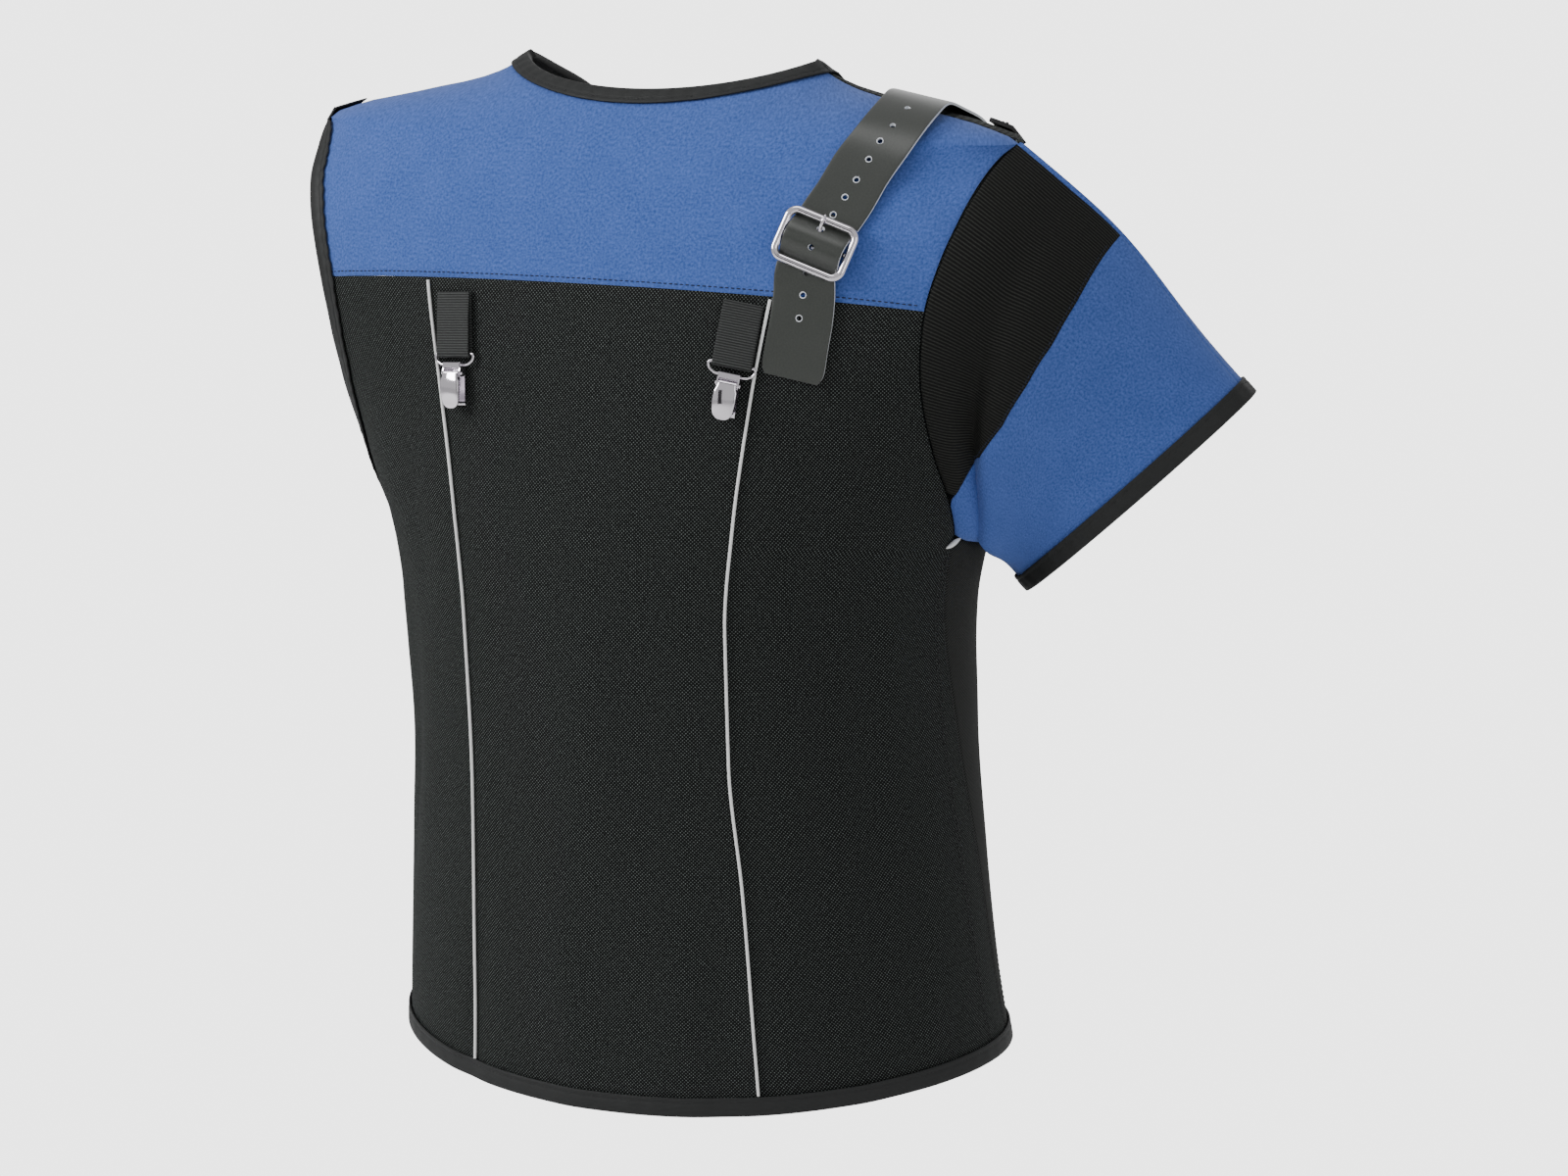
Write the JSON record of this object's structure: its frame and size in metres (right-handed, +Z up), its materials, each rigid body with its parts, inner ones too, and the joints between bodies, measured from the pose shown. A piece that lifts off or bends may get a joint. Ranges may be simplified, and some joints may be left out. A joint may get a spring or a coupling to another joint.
{
  "type": "shooting vest",
  "caption": "Hollow worn shooting vest with a black canvas body, a blue suede yoke, one elbow-length sleeve, a buckled shoulder strap and two hanging spring clips.",
  "frame": {"origin": "midway between the two shoulder points beside the neck, where the vest hangs on its wearer", "axes": "Z up, the front faces -Y, the wearer's left is +X and the sleeve is on the wearer's right at -X"},
  "size_m": [0.6084, 0.342, 0.6621],
  "materials": {
    "blue_suede": "napped suede",
    "black_canvas": "coarse basket weave",
    "black_ribbed": "ribbed twill",
    "grey_binding": "smooth folded tape",
    "white_piping": "round piping",
    "black_webbing": "woven webbing",
    "strap_leather": "coated leather with light cut edges",
    "chrome": "bright plated",
    "black_rubber": "nubbed"
  },
  "bodies": {
    "garment": {"back_yoke": "blue_suede", "front_left": "black_canvas", "front_right": "black_canvas", "sleeve_front": "blue_suede", "back_centre": "black_canvas", "back_side_left": "black_canvas", "back_side_right": "black_canvas", "sleeve_back_lower": "blue_suede", "sleeve_back_upper": "black_ribbed", "side_gusset_left": "black_ribbed", "side_gusset_right": "black_ribbed", "neck_binding": "grey_binding", "hem_binding": "grey_binding", "cuff_binding": "grey_binding", "armhole_binding_left": "grey_binding", "piping_left": "white_piping", "piping_right": "white_piping", "webbing_loop_left": "black_webbing", "webbing_loop_right": "black_webbing", "buckle_frame": "chrome", "buckle_prong": "chrome", "buckle_tab": "strap_leather", "shoulder_strap": "strap_leather", "recoil_pad": "black_rubber"},
    "clip_loop_left": {"clip_wire_left": "chrome"},
    "jaw_left": {"clip_jaw_left": "chrome"},
    "lever_left": {"clip_lever_left": "chrome"},
    "clip_loop_right": {"clip_wire_right": "chrome"},
    "jaw_right": {"clip_jaw_right": "chrome"},
    "lever_right": {"clip_lever_right": "chrome"}
  },
  "joints": [
    {"name": "loop_swing_left", "type": "hinge", "parent": "garment", "child": "clip_loop_left", "pos_m": [0.09284, 0.14503, -0.17713], "axis": [0.9807, -0.1806, -0.0747], "range_deg": [0, 80]},
    {"name": "jaw_swing_left", "type": "hinge", "parent": "clip_loop_left", "child": "jaw_left", "pos_m": [0.09244, 0.14572, -0.18398], "axis": [0.9807, -0.1806, -0.0747], "range_deg": [0, 50]},
    {"name": "lever_open_left", "type": "hinge", "parent": "jaw_left", "child": "lever_left", "pos_m": [0.09259, 0.1486, -0.18904], "axis": [0.9807, -0.1806, -0.0747], "range_deg": [0, 60]},
    {"name": "loop_swing_right", "type": "hinge", "parent": "garment", "child": "clip_loop_right", "pos_m": [-0.09817, 0.14381, -0.17295], "axis": [0.9698, 0.1799, 0.1647], "range_deg": [0, 80]},
    {"name": "jaw_swing_right", "type": "hinge", "parent": "clip_loop_right", "child": "jaw_right", "pos_m": [-0.09717, 0.14461, -0.17973], "axis": [0.9698, 0.1799, 0.1647], "range_deg": [0, 50]},
    {"name": "lever_open_right", "type": "hinge", "parent": "jaw_right", "child": "lever_right", "pos_m": [-0.09687, 0.14757, -0.18473], "axis": [0.9698, 0.1799, 0.1647], "range_deg": [0, 60]}
  ]
}
